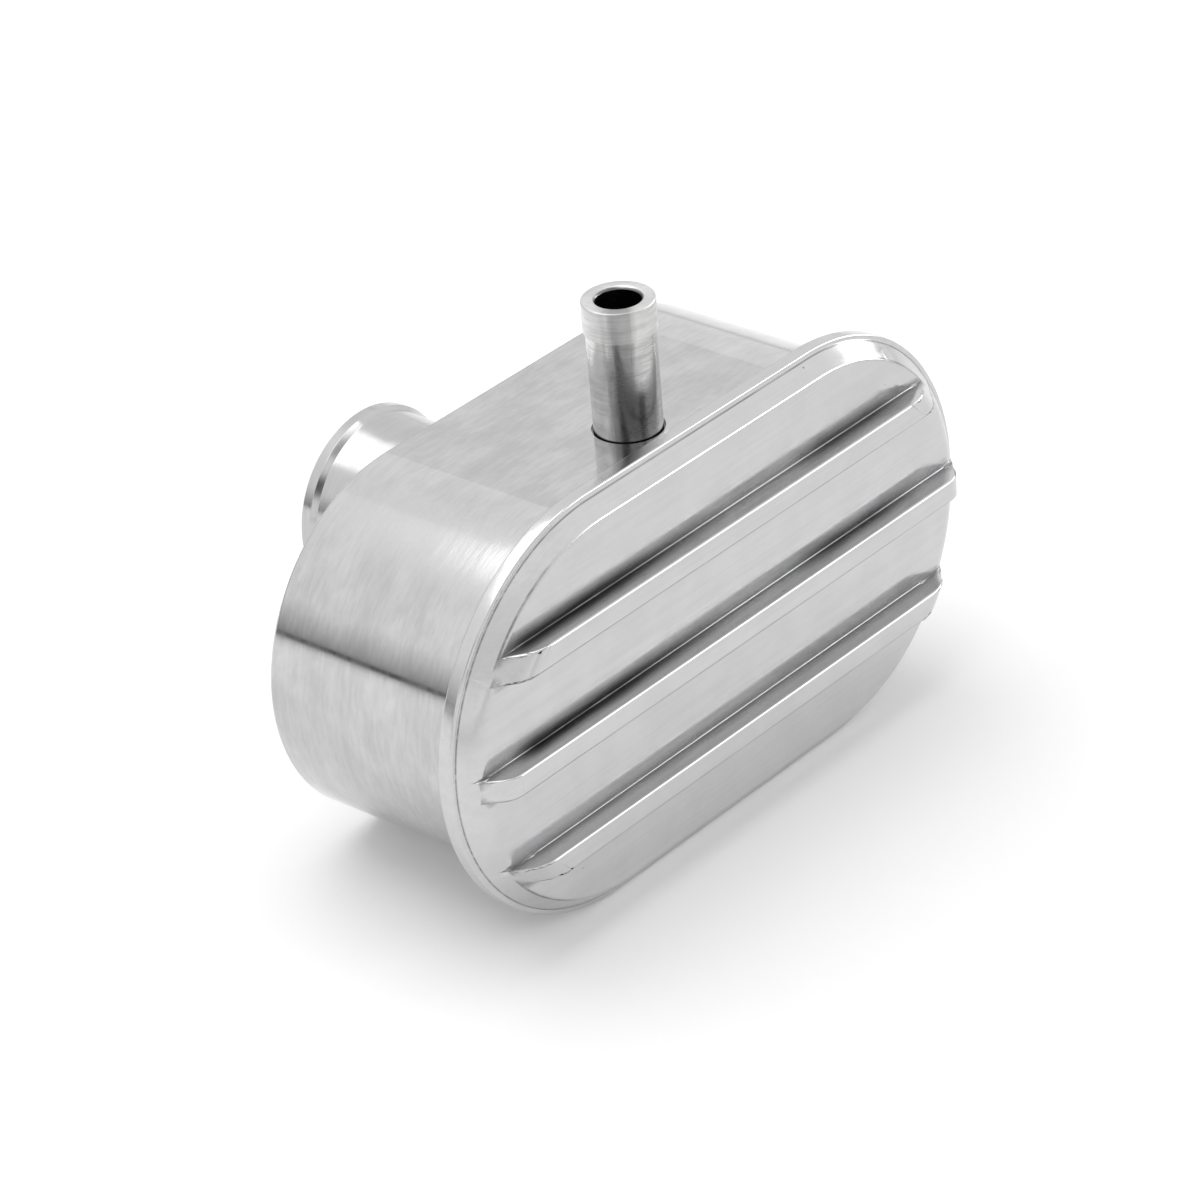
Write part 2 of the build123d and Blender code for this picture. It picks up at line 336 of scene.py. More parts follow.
def turned(name, profile, steps, upright=False, centre=(0.0, 0.0), ring=False):
    """Turns a profile of (radius, station) points about Y, or about Z if upright.

    The profile starts and ends in a closed disc, or closes on itself as a ring."""
    half_step = math.pi / steps
    aside, across = centre
    radius, station = profile[0]
    place = Vector((aside, across, station)) if upright else Vector((aside, station, across))
    deselect_all()
    bpy.ops.mesh.primitive_circle_add(
        vertices=steps,
        radius=radius,
        fill_type="NOTHING" if ring else "NGON",
        location=place,
        rotation=(0, 0, half_step) if upright else (math.pi / 2, half_step, 0),
    )
    piece = bpy.context.object
    piece.name = name
    piece.data.name = name
    bpy.ops.object.transform_apply()
    set_mode("EDIT")
    bpy.ops.mesh.select_mode(type="VERT")
    bpy.ops.mesh.select_all(action="SELECT")
    along = Vector((0, 0, 1)) if upright else Vector((0, 1, 0))
    points = profile[1:] + profile[:1] if ring else profile[1:]
    for next_radius, next_station in points:
        step = along * (next_station - station)
        bpy.ops.mesh.extrude_region_move(TRANSFORM_OT_translate={"value": step})
        place = place + step
        share = next_radius / radius
        grow = (share, share, 1) if upright else (share, 1, share)
        bpy.ops.transform.resize(value=grow, center_override=place)
        radius, station = next_radius, next_station
    set_mode("OBJECT")
    point_outwards(piece)
    return piece


def part_halves(piece, reach):
    """Draws a round piece out into an oval: each half moves away along X."""
    for way in (1, -1):
        select_parts(piece, "VERT", lambda place, way=way: place.x * way > 0)
        bpy.ops.transform.translate(value=(way * reach, 0, 0))
        set_mode("OBJECT")


def block(name, low, high):
    """Box between two corners, used as a cutter."""
    deselect_all()
    bpy.ops.mesh.primitive_cube_add(size=1, location=(Vector(low) + Vector(high)) / 2)
    piece = bpy.context.object
    piece.name = name
    piece.scale = Vector(high) - Vector(low)
    bpy.ops.object.transform_apply()
    return piece


def hand_over(piece, node, material):
    """Lets a finished piece stand for its CAD node, with its finish."""
    piece.data.materials.clear()
    piece.data.materials.append(material)
    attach(piece, "root")
    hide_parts(node)


# Small helpers for node trees
def feed(tree, socket, source):
    """Links a source to a socket, or sets the socket to a plain value."""
    if isinstance(source, bpy.types.NodeSocket):
        tree.links.new(source, socket)
    else:
        socket.default_value = source


def maths(tree, operation, *sources):
    """Math node on sockets or numbers."""
    made = tree.nodes.new("ShaderNodeMath")
    made.operation = operation
    for socket, source in zip(made.inputs, sources):
        feed(tree, socket, source)
    return made.outputs[0]


def times(tree, first, second):
    """Product of two sockets or numbers."""
    return maths(tree, "MULTIPLY", first, second)


def between(tree, source, low, high, to_low=0.0, to_high=1.0, shape="SMOOTHSTEP"):
    """Smooth step, or straight ramp, of a value from one range to another."""
    made = tree.nodes.new("ShaderNodeMapRange")
    made.interpolation_type = shape
    for socket, value in zip(made.inputs, (source, low, high, to_low, to_high)):
        feed(tree, socket, value)
    return made.outputs[0]


def window(tree, value, low, high, soft):
    """1 between two values and 0 outside them, with soft edges."""
    rising = between(tree, value, low - soft, low + soft)
    falling = between(tree, value, high - soft, high + soft, 1.0, 0.0)
    return times(tree, rising, falling)


def axes_of(tree, vector):
    """The three parts of a vector."""
    made = tree.nodes.new("ShaderNodeSeparateXYZ")
    tree.links.new(vector, made.inputs[0])
    return made.outputs["X"], made.outputs["Y"], made.outputs["Z"]


def seen_rays(tree, ray):
    """1 for the rays that show a surface: camera, glossy and transmission rays."""
    seen = maths(tree, "MAXIMUM", ray.outputs["Is Camera Ray"], ray.outputs["Is Glossy Ray"])
    return maths(tree, "MAXIMUM", seen, ray.outputs["Is Transmission Ray"])


def blend_colours(tree, share, first, second):
    """Mix of two colours by a share."""
    made = tree.nodes.new("ShaderNodeMix")
    made.data_type = "RGBA"
    feed(tree, made.inputs[0], share)
    feed(tree, made.inputs[6], first)
    feed(tree, made.inputs[7], second)
    return made.outputs[2]


def noise(tree, vector, scale, detail=2.0, roughness=0.5):
    """Noise value at a vector."""
    made = tree.nodes.new("ShaderNodeTexNoise")
    feed(tree, made.inputs["Vector"], vector)
    feed(tree, made.inputs["Scale"], scale)
    feed(tree, made.inputs["Detail"], detail)
    feed(tree, made.inputs["Roughness"], roughness)
    return made.outputs["Fac"]


def stretched(tree, vector, scale):
    """Vector scaled by a different amount along each axis."""
    made = tree.nodes.new("ShaderNodeMapping")
    feed(tree, made.inputs["Vector"], vector)
    made.inputs["Scale"].default_value = scale
    return made.outputs["Vector"]


def new_group(name, vectors, values, results):
    """Empty shader node group that takes vectors and values and gives values."""
    group = bpy.data.node_groups.new(name, "ShaderNodeTree")
    for sockets, way, kind in (
        (vectors, "INPUT", "NodeSocketVector"),
        (values, "INPUT", "NodeSocketFloat"),
        (results, "OUTPUT", "NodeSocketFloat"),
    ):
        for socket in sockets:
            group.interface.new_socket(name=socket, in_out=way, socket_type=kind)
    return group, group.nodes.new("NodeGroupInput"), group.nodes.new("NodeGroupOutput")


def make_polish_group():
    """Uneven hand polish: broad waves in the surface, clouds of haze and fine hairlines."""
    group, given, result = new_group(
        "Hand polish",
        vectors=("Vector", "Streak vector"),
        values=("Wave depth", "Streak depth"),
        results=("Haze", "Streaks", "Height"),
    )
    vector = given.outputs["Vector"]
    streak_vector = given.outputs["Streak vector"]
    waves = noise(group, vector, scale=70.0, detail=1.0)
    clouds = noise(group, vector, scale=160.0, detail=3.0, roughness=0.6)
    fine = noise(group, streak_vector, scale=1.0, detail=3.0, roughness=0.65)
    broad = noise(group, streak_vector, scale=0.27, detail=2.0, roughness=0.5)
    streaks = maths(group, "MULTIPLY_ADD", fine, 0.6, times(group, broad, 0.4))
    wave_height = times(group, waves, given.outputs["Wave depth"])
    streak_height = times(group, streaks, given.outputs["Streak depth"])
    group.links.new(between(group, clouds, 0.35, 0.7), result.inputs["Haze"])
    group.links.new(between(group, streaks, 0.38, 0.62), result.inputs["Streaks"])
    group.links.new(maths(group, "ADD", wave_height, streak_height), result.inputs["Height"])
    return group


def make_pit_group():
    """Scattered small pits and specks that the polishing did not take out."""
    group, given, result = new_group(
        "Pits", vectors=("Vector",), values=("Spacing", "Share"), results=("Mask",)
    )
    cells = group.nodes.new("ShaderNodeTexVoronoi")
    feed(group, cells.inputs["Vector"], given.outputs["Vector"])
    feed(group, cells.inputs["Scale"], maths(group, "DIVIDE", 1.0, given.outputs["Spacing"]))
    chosen = group.nodes.new("ShaderNodeSeparateColor")
    group.links.new(cells.outputs["Color"], chosen.inputs[0])
    picked = maths(group, "LESS_THAN", chosen.outputs[0], given.outputs["Share"])
    reach = maths(group, "MULTIPLY_ADD", chosen.outputs[1], 0.07, 0.02)
    inside = maths(group, "LESS_THAN", cells.outputs["Distance"], reach)
    group.links.new(times(group, picked, inside), result.inputs["Mask"])
    return group


def use_group(tree, group, **sources):
    """Places a node group, with its inputs named by their sockets in lower case."""
    made = tree.nodes.new("ShaderNodeGroup")
    made.node_tree = group
    for name, source in sources.items():
        feed(tree, made.inputs[name.replace("_", " ").capitalize()], source)
    return made


def new_material(name):
    """Material with its shader, its tree and its object coordinates."""
    material = bpy.data.materials.new(name)
    material.use_nodes = True
    tree = material.node_tree
    shader = tree.nodes["Principled BSDF"]
    place = tree.nodes.new("ShaderNodeTexCoord").outputs["Object"]
    return material, tree, shader, place


def shade(colour, factor):
    """Colour made darker or lighter, as a shader colour."""
    return tuple(min(1.0, part * factor) for part in colour) + (1.0,)


def bump(tree, shader, height, distance):
    """Gives a shader its fine relief. The distance is in metres."""
    made = tree.nodes.new("ShaderNodeBump")
    made.inputs["Distance"].default_value = distance
    tree.links.new(height, made.inputs["Height"])
    tree.links.new(made.outputs["Normal"], shader.inputs["Normal"])


def metal_finish(
    name, colour, roughness, streak_scale, waves=0.02 * MM, streaks=0.004 * MM, contrast=0.12
):
    """Polished or brushed metal with uneven haze and hairlines."""
    material, tree, shader, place = new_material(name)
    polish = use_group(
        tree,
        bpy.data.node_groups.get("Hand polish") or make_polish_group(),
        vector=place,
        streak_vector=stretched(tree, place, streak_scale),
        wave_depth=waves,
        streak_depth=streaks,
    )
    shader.inputs["Metallic"].default_value = 1.0
    halves = [times(tree, polish.outputs[part], 0.5) for part in ("Haze", "Streaks")]
    mixed = maths(tree, "ADD", *halves)
    tone = blend_colours(tree, mixed, shade(colour, 1.0 - contrast), shade(colour, 1.0 + contrast / 2))
    tree.links.new(tone, shader.inputs["Base Color"])
    gloss = between(tree, mixed, 0.0, 1.0, roughness * 1.35, roughness * 0.8)
    tree.links.new(gloss, shader.inputs["Roughness"])
    bump(tree, shader, polish.outputs["Height"], 1.0)
    return material, tree, shader, place, tone, gloss


def make_cover_finish(settings, sizes):
    """Hand-polished aluminium of the cover, rough in the corners beside the ribs, with painted shade in
    those corners and thin painted lines of shade along edges and creases.
    """
    material, tree, shader, place, tone, gloss = metal_finish(
        "Polished cover",
        settings.cover_colour,
        settings.gloss,
        streak_scale=(60, 2500, 2500),
        streaks=0.003 * MM,
        contrast=0.05,
    )
    # Painted shade tones for the corners, the deeper corners and the thin lines, then the pits' own darker
    # colour
    corner_shade_tone, deep_shade_tone, line_shade_tone, pitted = (shade(settings.cover_colour, share) for share in (0.35, 0.08, 0.25, 0.3))
    along, depth, height = axes_of(tree, place)
    sides = []
    for side in (-1, 1):
        off = maths(tree, "SUBTRACT", height, side * sizes.rib_width / 2)
        off = maths(tree, "WRAP", off, sizes.rib_pitch / 2, -sizes.rib_pitch / 2)
        sides.append(maths(tree, "ABSOLUTE", off))
    below, on_top = sides
    beside = maths(tree, "MINIMUM", below, on_top)
    rim_front = RIM_BACK - sizes.rim_thickness
    height_over_floor = maths(tree, "SUBTRACT", rim_front - sizes.floor_rise, depth)
    above = maths(tree, "MAXIMUM", height_over_floor, times(tree, height_over_floor, -6.0))
    ragged = noise(tree, stretched(tree, place, (130, 1500, 1500)), scale=1.0, detail=3.0, roughness=0.6)
    uneven = times(tree, maths(tree, "SUBTRACT", ragged, 0.5), RAGGED_DEPTH)
    reach = maths(tree, "ADD", maths(tree, "ADD", beside, above), uneven)
    # Painted shade in the corners beside the ribs; the same mask also makes those corners rougher
    corner = between(tree, reach, *CORNER_SHADE_REACH, 1.0, 0.0)
    tone = blend_colours(tree, times(tree, corner, 0.65), tone, corner_shade_tone)

    # Deeper painted shade in the corners above the upper two ribs, ragged along its edge
    upper = between(tree, height, *UPPER_RIBS)
    deep_shade_spread = times(tree, between(tree, along, *DEEP_SHADE_STARTS), upper)
    deep_shade_spread = times(tree, deep_shade_spread, between(tree, along, *DEEP_SHADE_FADES, 1.0, 0.0))
    far_end = times(tree, window(tree, along, *FAR_DEEP_SHADE, 6.0 * MM), upper)
    deep_shade_spread = maths(tree, "MAXIMUM", deep_shade_spread, times(tree, far_end, 0.7))
    on_top = maths(tree, "ADD", maths(tree, "ADD", on_top, above), uneven)
    deep_shade = between(tree, on_top, *DEEP_SHADE_REACH, 1.0, 0.0)
    deep_shade = times(tree, deep_shade, between(tree, ragged, *RAGGED_RANGE, 0.75, 1.0))
    tone = blend_colours(tree, times(tree, times(tree, deep_shade, deep_shade_spread), 0.97), tone, deep_shade_tone)

    # Thin lines of painted shade: at the slope's foot inside the rim, under the ribs' lower edges and in
    # the outer valleys' creases
    foot = window(tree, depth, rim_front - 0.26 * MM, rim_front - 0.08 * MM, LINE_SOFTNESS)
    clear = between(tree, height_over_floor, 1.0 * MM, 1.2 * MM)
    lower_edge_shade = times(tree, between(tree, below, *LOWER_EDGE_LINE, 1.0, 0.0), clear)
    outermost = between(tree, maths(tree, "ABSOLUTE", height), sizes.rib_pitch, sizes.rib_pitch + MM)
    at_end = between(tree, maths(tree, "ABSOLUTE", along), *CREASE_STARTS)
    crease = window(tree, height_over_floor, *CREASE_LINE, LINE_SOFTNESS)
    crease = times(tree, crease, times(tree, outermost, at_end))
    shade_lines = maths(tree, "MAXIMUM", maths(tree, "MAXIMUM", foot, lower_edge_shade), crease)
    shade_lines = times(tree, shade_lines, between(tree, ragged, *RAGGED_RANGE, 0.4, 0.75))
    tone = blend_colours(tree, shade_lines, tone, line_shade_tone)

    pits = use_group(tree, bpy.data.node_groups.get("Pits") or make_pit_group(), vector=place)
    pits.inputs["Spacing"].default_value = 3.0 * MM
    pits.inputs["Share"].default_value = 0.2
    marked = blend_colours(tree, pits.outputs["Mask"], tone, pitted)
    tree.links.new(marked, shader.inputs["Base Color"])
    tree.links.new(maths(tree, "MULTIPLY_ADD", corner, 0.12, gloss), shader.inputs["Roughness"])
    return material


def make_canister_finish(settings):
    """Brushed aluminium of the canister, with a painted highlight that makes its round ends a little
    brighter than its flats.
    """
    material, tree, shader, place, tone, gloss = metal_finish(
        "Brushed canister",
        settings.canister_colour,
        settings.gloss * 0.6,
        streak_scale=(300, 1500, 300),
        streaks=0.005 * MM,
        contrast=0.13,
    )
    # Painted highlight on the round ends, strongest next to the flats and fading towards the tips
    aside = maths(tree, "ABSOLUTE", axes_of(tree, place)[0])
    round_end = between(tree, aside, END_CENTRE - 0.2 * MM, END_CENTRE + 0.2 * MM)
    faded = between(tree, aside, END_CENTRE, CAN_RADIUS + END_CENTRE - 8.0 * MM, 1.0, 0.0)
    painted_highlight = times(tree, round_end, faded)
    highlight_tone = blend_colours(tree, 0.13, tone, WHITE)
    tree.links.new(blend_colours(tree, painted_highlight, tone, highlight_tone), shader.inputs["Base Color"])
    return material


def make_tube_finish(settings, sizes):
    """Turned metal of the hose tube, scratched in its making, with a painted dark reflection down the
    front and painted shade in its bore.
    """
    material, tree, shader, place, tone, gloss = metal_finish(
        "Turned tube",
        settings.tube_colour,
        settings.gloss * 1.3,
        streak_scale=(250, 250, 3500),
        waves=0.03 * MM,
        streaks=0.012 * MM,
        contrast=0.3,
    )
    wide, deep, height = axes_of(tree, place)
    deep = maths(tree, "SUBTRACT", deep, TUBE_Y)
    # Painted dark reflection: a ragged band on the side of the tube that faces the camera
    front_x, front_y = TOWARDS_CAMERA
    front = maths(tree, "MULTIPLY_ADD", wide, front_x, times(tree, deep, front_y))
    aside = maths(tree, "MULTIPLY_ADD", wide, -front_y, times(tree, deep, front_x))
    ragged = noise(tree, stretched(tree, place, (500, 500, 60)), scale=1.0, detail=4.0, roughness=0.7)
    aside = maths(tree, "MULTIPLY_ADD", maths(tree, "SUBTRACT", ragged, 0.5), DARK_REFLECTION_RAGGED, aside)
    dark_reflection = window(tree, aside, *DARK_REFLECTION_PLACE, DARK_REFLECTION_SOFTNESS)
    dark_reflection = times(tree, dark_reflection, between(tree, front, 0.0, MM))
    radius = maths(tree, "MULTIPLY_ADD", wide, wide, times(tree, deep, deep))
    radius = maths(tree, "SQRT", radius)
    outside = between(tree, radius, sizes.bore + 0.1 * MM, sizes.bore + 0.4 * MM)
    collar_foot = tube_high.z - sizes.collar_length
    collar = between(tree, height, collar_foot - COLLAR_FADE, collar_foot)
    collar = times(tree, collar, outside)
    share = times(tree, dark_reflection, maths(tree, "MULTIPLY_ADD", collar, -0.2, 0.75))
    # Painted shade inside the bore
    share = maths(tree, "MAXIMUM", share, maths(tree, "MULTIPLY_ADD", outside, -0.9, 0.9))
    tone = blend_colours(tree, times(tree, collar, 0.2), tone, CLEAN_STEEL)
    # The painted reflection and the painted shade in the bore darken to a fifth of the tube's colour
    shaded_tone = blend_colours(tree, share, tone, shade(settings.tube_colour, 0.2))
    tree.links.new(shaded_tone, shader.inputs["Base Color"])
    tree.links.new(maths(tree, "MULTIPLY_ADD", collar, 0.15, gloss), shader.inputs["Roughness"])
    return material


def make_matt_finish(name, tones, gloss, relief, **texture):
    """Matt finish with a grain, for rubber or fibre."""
    material, tree, shader, place = new_material(name)
    grain = noise(tree, place, **texture)
    tree.links.new(blend_colours(tree, grain, *tones), shader.inputs["Base Color"])
    tree.links.new(between(tree, grain, 0.0, 1.0, *gloss), shader.inputs["Roughness"])
    bump(tree, shader, grain, relief)
    return material


class BREATHER_OT_cover(bpy.types.Operator):
    """Models the finned cover and polishes it"""

    bl_idname = "breather.cover"
    bl_label = "Finned cover"

    def execute(self, context):
        sizes = context.scene.breather_cover
        can = context.scene.breather_canister
        rim_front = RIM_BACK - sizes.rim_thickness
        crest = cover_low.y
        floor = rim_front - sizes.floor_rise
        slope_foot = END_RADIUS - sizes.rim_land
        crest_radius = slope_foot - sizes.slope_run
        register = CAN_RADIUS - can.wall - REGISTER_CLEARANCE
        pocket = register - REGISTER_WALL
        foot = (slope_foot, rim_front)
        profile = eased((0.0, crest), (crest_radius, crest), foot, sizes.soft_edge, steps=6) + (
            foot,
            (END_RADIUS, rim_front),
            (END_RADIUS, RIM_BACK),
            (register, RIM_BACK),
            (register, RIM_BACK + REGISTER_DEPTH),
            (pocket, RIM_BACK + REGISTER_DEPTH),
            (pocket, RIM_BACK - POCKET_DEPTH),
        )
        cover = turned("polished_cover", profile, steps=256)
        part_halves(cover, END_CENTRE)
        cut_valleys(cover, sizes, floor, rim_front, crest)
        for side in (-1, 1):
            boss = turned(
                "boss",
                (
                    (BOSS_RADIUS, RIM_BACK - POCKET_DEPTH - MM),
                    (BOSS_RADIUS, cover_high.y),
                    (TAPPED_RADIUS, cover_high.y),
                    (TAPPED_RADIUS, RIM_BACK - POCKET_DEPTH),
                ),
                steps=48,
                centre=(side * SCREW_X, 0.0),
            )
            combine(cover, "UNION", boss)
        point_outwards(cover)
        shape_cover_edges(cover, sizes, floor, rim_front, crest)
        finish_surface(cover)
        finish = make_cover_finish(context.scene.breather_finish, sizes)
        hand_over(cover, "finned_cover", finish)
        return {"FINISHED"}


def cut_valleys(cover, sizes, floor, rim_front, crest):
    """Cuts the valleys between the ribs. The inner two end in creases that the mop wore soft."""
    slope = sizes.slope_run / (rim_front - crest)
    foot = END_RADIUS - sizes.rim_land
    floor_radius = foot - slope * sizes.floor_rise
    outer = END_RADIUS + MM
    reach = cover_high.x + MM
    walls = [outer]
    for row in (1, 0, -1):
        walls += [row * sizes.rib_pitch + side * sizes.rib_width / 2 for side in (1, -1)]
    walls.append(-outer)
    for top, bottom in zip(walls[0::2], walls[1::2]):
        inner = top < outer and bottom > -outer
        low = (foot + VALLEY_CLEARANCE, rim_front)
        corner = (floor_radius + VALLEY_CLEARANCE, floor)
        setback = sizes.soft_edge if inner else sizes.edge
        profile = eased((0.0, floor), corner, low, setback, steps=5)
        foot_level = profile[-1][1]
        profile += ((reach, foot_level), (reach, rim_front))
        kept = turned("valley_floor", profile, steps=256)
        part_halves(kept, END_CENTRE)
        valley_end = (reach, foot_level + VALLEY_OVERLAP, top)
        valley = block("valley", (-reach, crest - MM, bottom), valley_end)
        combine(valley, "DIFFERENCE", kept)
        combine(cover, "DIFFERENCE", valley)
        point_outwards(cover)


def eased(before, corner, after, setback, steps):
    """Points of a profile's corner that is drawn as a soft curve, starting this far before it."""
    corner = Vector(corner)
    start = corner + (Vector(before) - corner).normalized() * setback
    end = corner + (Vector(after) - corner).normalized() * setback
    points = []
    for step in range(steps + 1):
        share = step / steps
        place = start * (1 - share) ** 2 + corner * 2 * share * (1 - share) + end * share**2
        points.append((place.x, place.y))
    return tuple(points)


def on_oval(place, radius):
    """Whether a point lies on the outer oval whose round ends have this radius."""
    aside = max(0.0, abs(place.x) - END_CENTRE)
    return math.hypot(aside, place.z) > radius - NEAR_OVAL


def cut_across(piece, place, facing):
    """Adds edges where a plane crosses a piece."""
    choose(piece)
    set_mode("EDIT")
    bpy.ops.mesh.select_all(action="SELECT")
    bpy.ops.mesh.bisect(plane_co=place, plane_no=facing)
    set_mode("OBJECT")


def shape_cover_edges(cover, sizes, floor, rim_front, crest):
    """Rounds the cover's edges as the polishing mop did."""
    start = floor - MOP_REACH
    half_rib = sizes.rib_width / 2
    slope_foot = END_RADIUS - sizes.rim_land
    crease = slope_foot - sizes.slope_run * sizes.floor_rise / (rim_front - crest)
    crest_radius = slope_foot - sizes.slope_run
    cut_across(cover, (0, start, 0), (0, 1, 0))
    ends = []
    for radius, walls in (
        (crease, (half_rib, sizes.rib_pitch + half_rib)),
        (crest_radius, (half_rib, sizes.rib_pitch - half_rib, sizes.rib_pitch + half_rib)),
    ):
        for wall in walls:
            along = math.sqrt(radius**2 - wall**2)
            ends.append(END_CENTRE + along - sizes.soft_edge * radius / along - MOP_MARGIN)
            for side in (-1, 1):
                cut_across(cover, (side * ends[-1], 0, 0), (1, 0, 0))

    def wall_of(place):
        across = abs(place.z)
        if abs(across - half_rib) < NEAR:
            return 0
        if abs(abs(across - sizes.rib_pitch) - half_rib) < NEAR:
            return 1
        return None

    def along_wall(first, second):
        return wall_of(first) is not None and abs(first.z - second.z) < NEAR

    def level(first, second, station):
        return abs(first.y - station) < NEAR and abs(second.y - station) < NEAR

    def rib_edge(first, second):
        if max(first.y, second.y) >= start + NEAR or not along_wall(first, second):
            return False
        if level(first, second, start) or abs(first.x - second.x) < NEAR:
            return False
        return level(first, second, crest) or abs(first.y - second.y) > NEAR

    def rib_corner(first, second):
        if not (along_wall(first, second) and level(first, second, floor)):
            return False
        return max(abs(first.x), abs(second.x)) < ends[wall_of(first)] + NEAR

    round_edges(cover, sizes.edge, 3, rib_edge)
    round_edges(cover, sizes.corner, 3, rib_corner)
    for station in (rim_front, RIM_BACK):
        round_edges(
            cover,
            RIM_EDGE,
            3,
            lambda first, second: level(first, second, station)
            and on_oval(first, END_RADIUS)
            and on_oval(second, END_RADIUS),
        )
    select_parts(cover, "VERT", lambda place: place.y < crest)
    bpy.ops.transform.resize(value=(1, 0, 1), center_override=(0, crest, 0))
    set_mode("OBJECT")


class BREATHER_OT_canister(bpy.types.Operator):
    """Models the oval canister and brushes it"""

    bl_idname = "breather.canister"
    bl_label = "Canister"

    def execute(self, context):
        sizes = context.scene.breather_canister
        tube = context.scene.breather_tube
        cavity = CAN_RADIUS - sizes.wall
        profile = (
            (CAN_RADIUS, can_high.y),
            (CAN_RADIUS, can_low.y),
            (cavity, can_low.y),
            (cavity, -sizes.ledge),
            (cavity - sizes.ledge_width, -sizes.ledge),
            (cavity - sizes.ledge_width, -sizes.back_wall),
        )
        canister = turned("brushed_canister", profile, steps=256)
        part_halves(canister, END_CENTRE)
        boss = turned(
            "tube_boss",
            ((TUBE_BOSS_RADIUS, TUBE_SEAT), (TUBE_BOSS_RADIUS, cavity + MM)),
            steps=64,
            upright=True,
            centre=(0.0, TUBE_Y),
        )
        combine(canister, "UNION", boss)
        hole = turned(
            "tube_hole",
            (
                (tube.barrel + TUBE_CLEARANCE, TUBE_SEAT - MM),
                (tube.barrel + TUBE_CLEARANCE, CAN_RADIUS - TUBE_RELIEF_DEPTH),
                (tube.barrel + TUBE_RELIEF, CAN_RADIUS - TUBE_RELIEF_DEPTH),
                (tube.barrel + TUBE_RELIEF, CAN_RADIUS + MM),
            ),
            steps=96,
            upright=True,
            centre=(0.0, TUBE_Y),
        )
        combine(canister, "DIFFERENCE", hole)
        ends = ((NECK_HOLE_RADIUS, -sizes.back_wall - MM), (NECK_HOLE_RADIUS, MM))
        neck_hole = turned("neck_hole", ends, steps=128)
        combine(canister, "DIFFERENCE", neck_hole)
        for side in (-1, 1):
            sink = turned(
                "screw_hole",
                (
                    (CLEAR_RADIUS, -sizes.back_wall - MM),
                    (CLEAR_RADIUS, -COUNTERSINK_DEPTH),
                    (COUNTERSINK_RADIUS, 0.0),
                    (COUNTERSINK_RADIUS, MM),
                ),
                steps=48,
                centre=(side * SCREW_X, 0.0),
            )
            combine(canister, "DIFFERENCE", sink)
        point_outwards(canister)

        def back_rim(first, second):
            return all(abs(end.y) < NEAR and on_oval(end, CAN_RADIUS) for end in (first, second))

        round_edges(canister, sizes.back_edge, 4, back_rim)
        finish_surface(canister)
        finish = make_canister_finish(context.scene.breather_finish)
        hand_over(canister, "canister_body", finish)
        return {"FINISHED"}


class BREATHER_OT_neck(bpy.types.Operator):
    """Turns the grommet neck"""

    bl_idname = "breather.neck"
    bl_label = "Grommet neck"

    def execute(self, context):
        sizes = context.scene.breather_neck
        flange_front = neck_low.y
        flange_back = flange_front + NECK_FLANGE
        lip_back = NECK_END - sizes.chamfer - sizes.lip_land
        flare_end = lip_back - sizes.chamfer
        profile = (
            (sizes.bore, flange_front),
            (neck_high.z, flange_front),
            (neck_high.z, flange_back),
            (sizes.barrel, flange_back),
            (sizes.barrel, flare_end - sizes.flare_length),
            (sizes.flare, flare_end),
            (sizes.lip, lip_back),
            (sizes.lip, NECK_END - sizes.chamfer),
            (sizes.lip - sizes.chamfer, NECK_END),
            (sizes.bore + NECK_MOUTH_CHAMFER, NECK_END),
            (sizes.bore, NECK_END - NECK_MOUTH_CHAMFER),
        )
        neck = turned("turned_neck", profile, steps=192, ring=True)
        for number in range(3):
            turn = math.radians(90 + 120 * number)
            place = (NECK_SCREW_CIRCLE * math.cos(turn), NECK_SCREW_CIRCLE * math.sin(turn))
            ends = ((NECK_SCREW_RADIUS, flange_front - MM), (NECK_SCREW_RADIUS, flange_back + MM))
            hole = turned("hole", ends, steps=32, centre=place)
            combine(neck, "DIFFERENCE", hole)
        break_edges(neck, NECK_EDGE)
        finish_surface(neck)
        finish = context.scene.breather_finish
        material = metal_finish(
            "Turned neck",
            finish.neck_colour,
            finish.gloss,
            streak_scale=(120, 3000, 120),
            waves=0.01 * MM,
            streaks=0.005 * MM,
            contrast=0.06,
        )[0]
        hand_over(neck, "neck_tube", material)
        return {"FINISHED"}


class BREATHER_OT_tube(bpy.types.Operator):
    """Turns the hose tube"""

    bl_idname = "breather.tube"
    bl_label = "Hose tube"

    def execute(self, context):
        sizes = context.scene.breather_tube
        top = tube_high.z
        profile = (
            (sizes.bore, tube_low.z),
            (tube_high.x, tube_low.z),
            (tube_high.x, TUBE_SEAT),
            (sizes.barrel, TUBE_SEAT),
            (sizes.barrel, top - sizes.collar_length),
            (sizes.collar, top - sizes.collar_length),
            (sizes.collar, top - TUBE_TOP_CHAMFER),
            (sizes.collar - TUBE_TOP_CHAMFER, top),
            (sizes.bore + TUBE_MOUTH_CHAMFER, top),
            (sizes.bore, top - TUBE_MOUTH_CHAMFER),
        )
        tube = turned("turned_tube", profile, steps=128, upright=True, centre=(0.0, TUBE_Y), ring=True)
        break_edges(tube, TUBE_EDGE)
        finish_surface(tube)
        finish = make_tube_finish(context.scene.breather_finish, sizes)
        hand_over(tube, "hose_tube", finish)
        return {"FINISHED"}


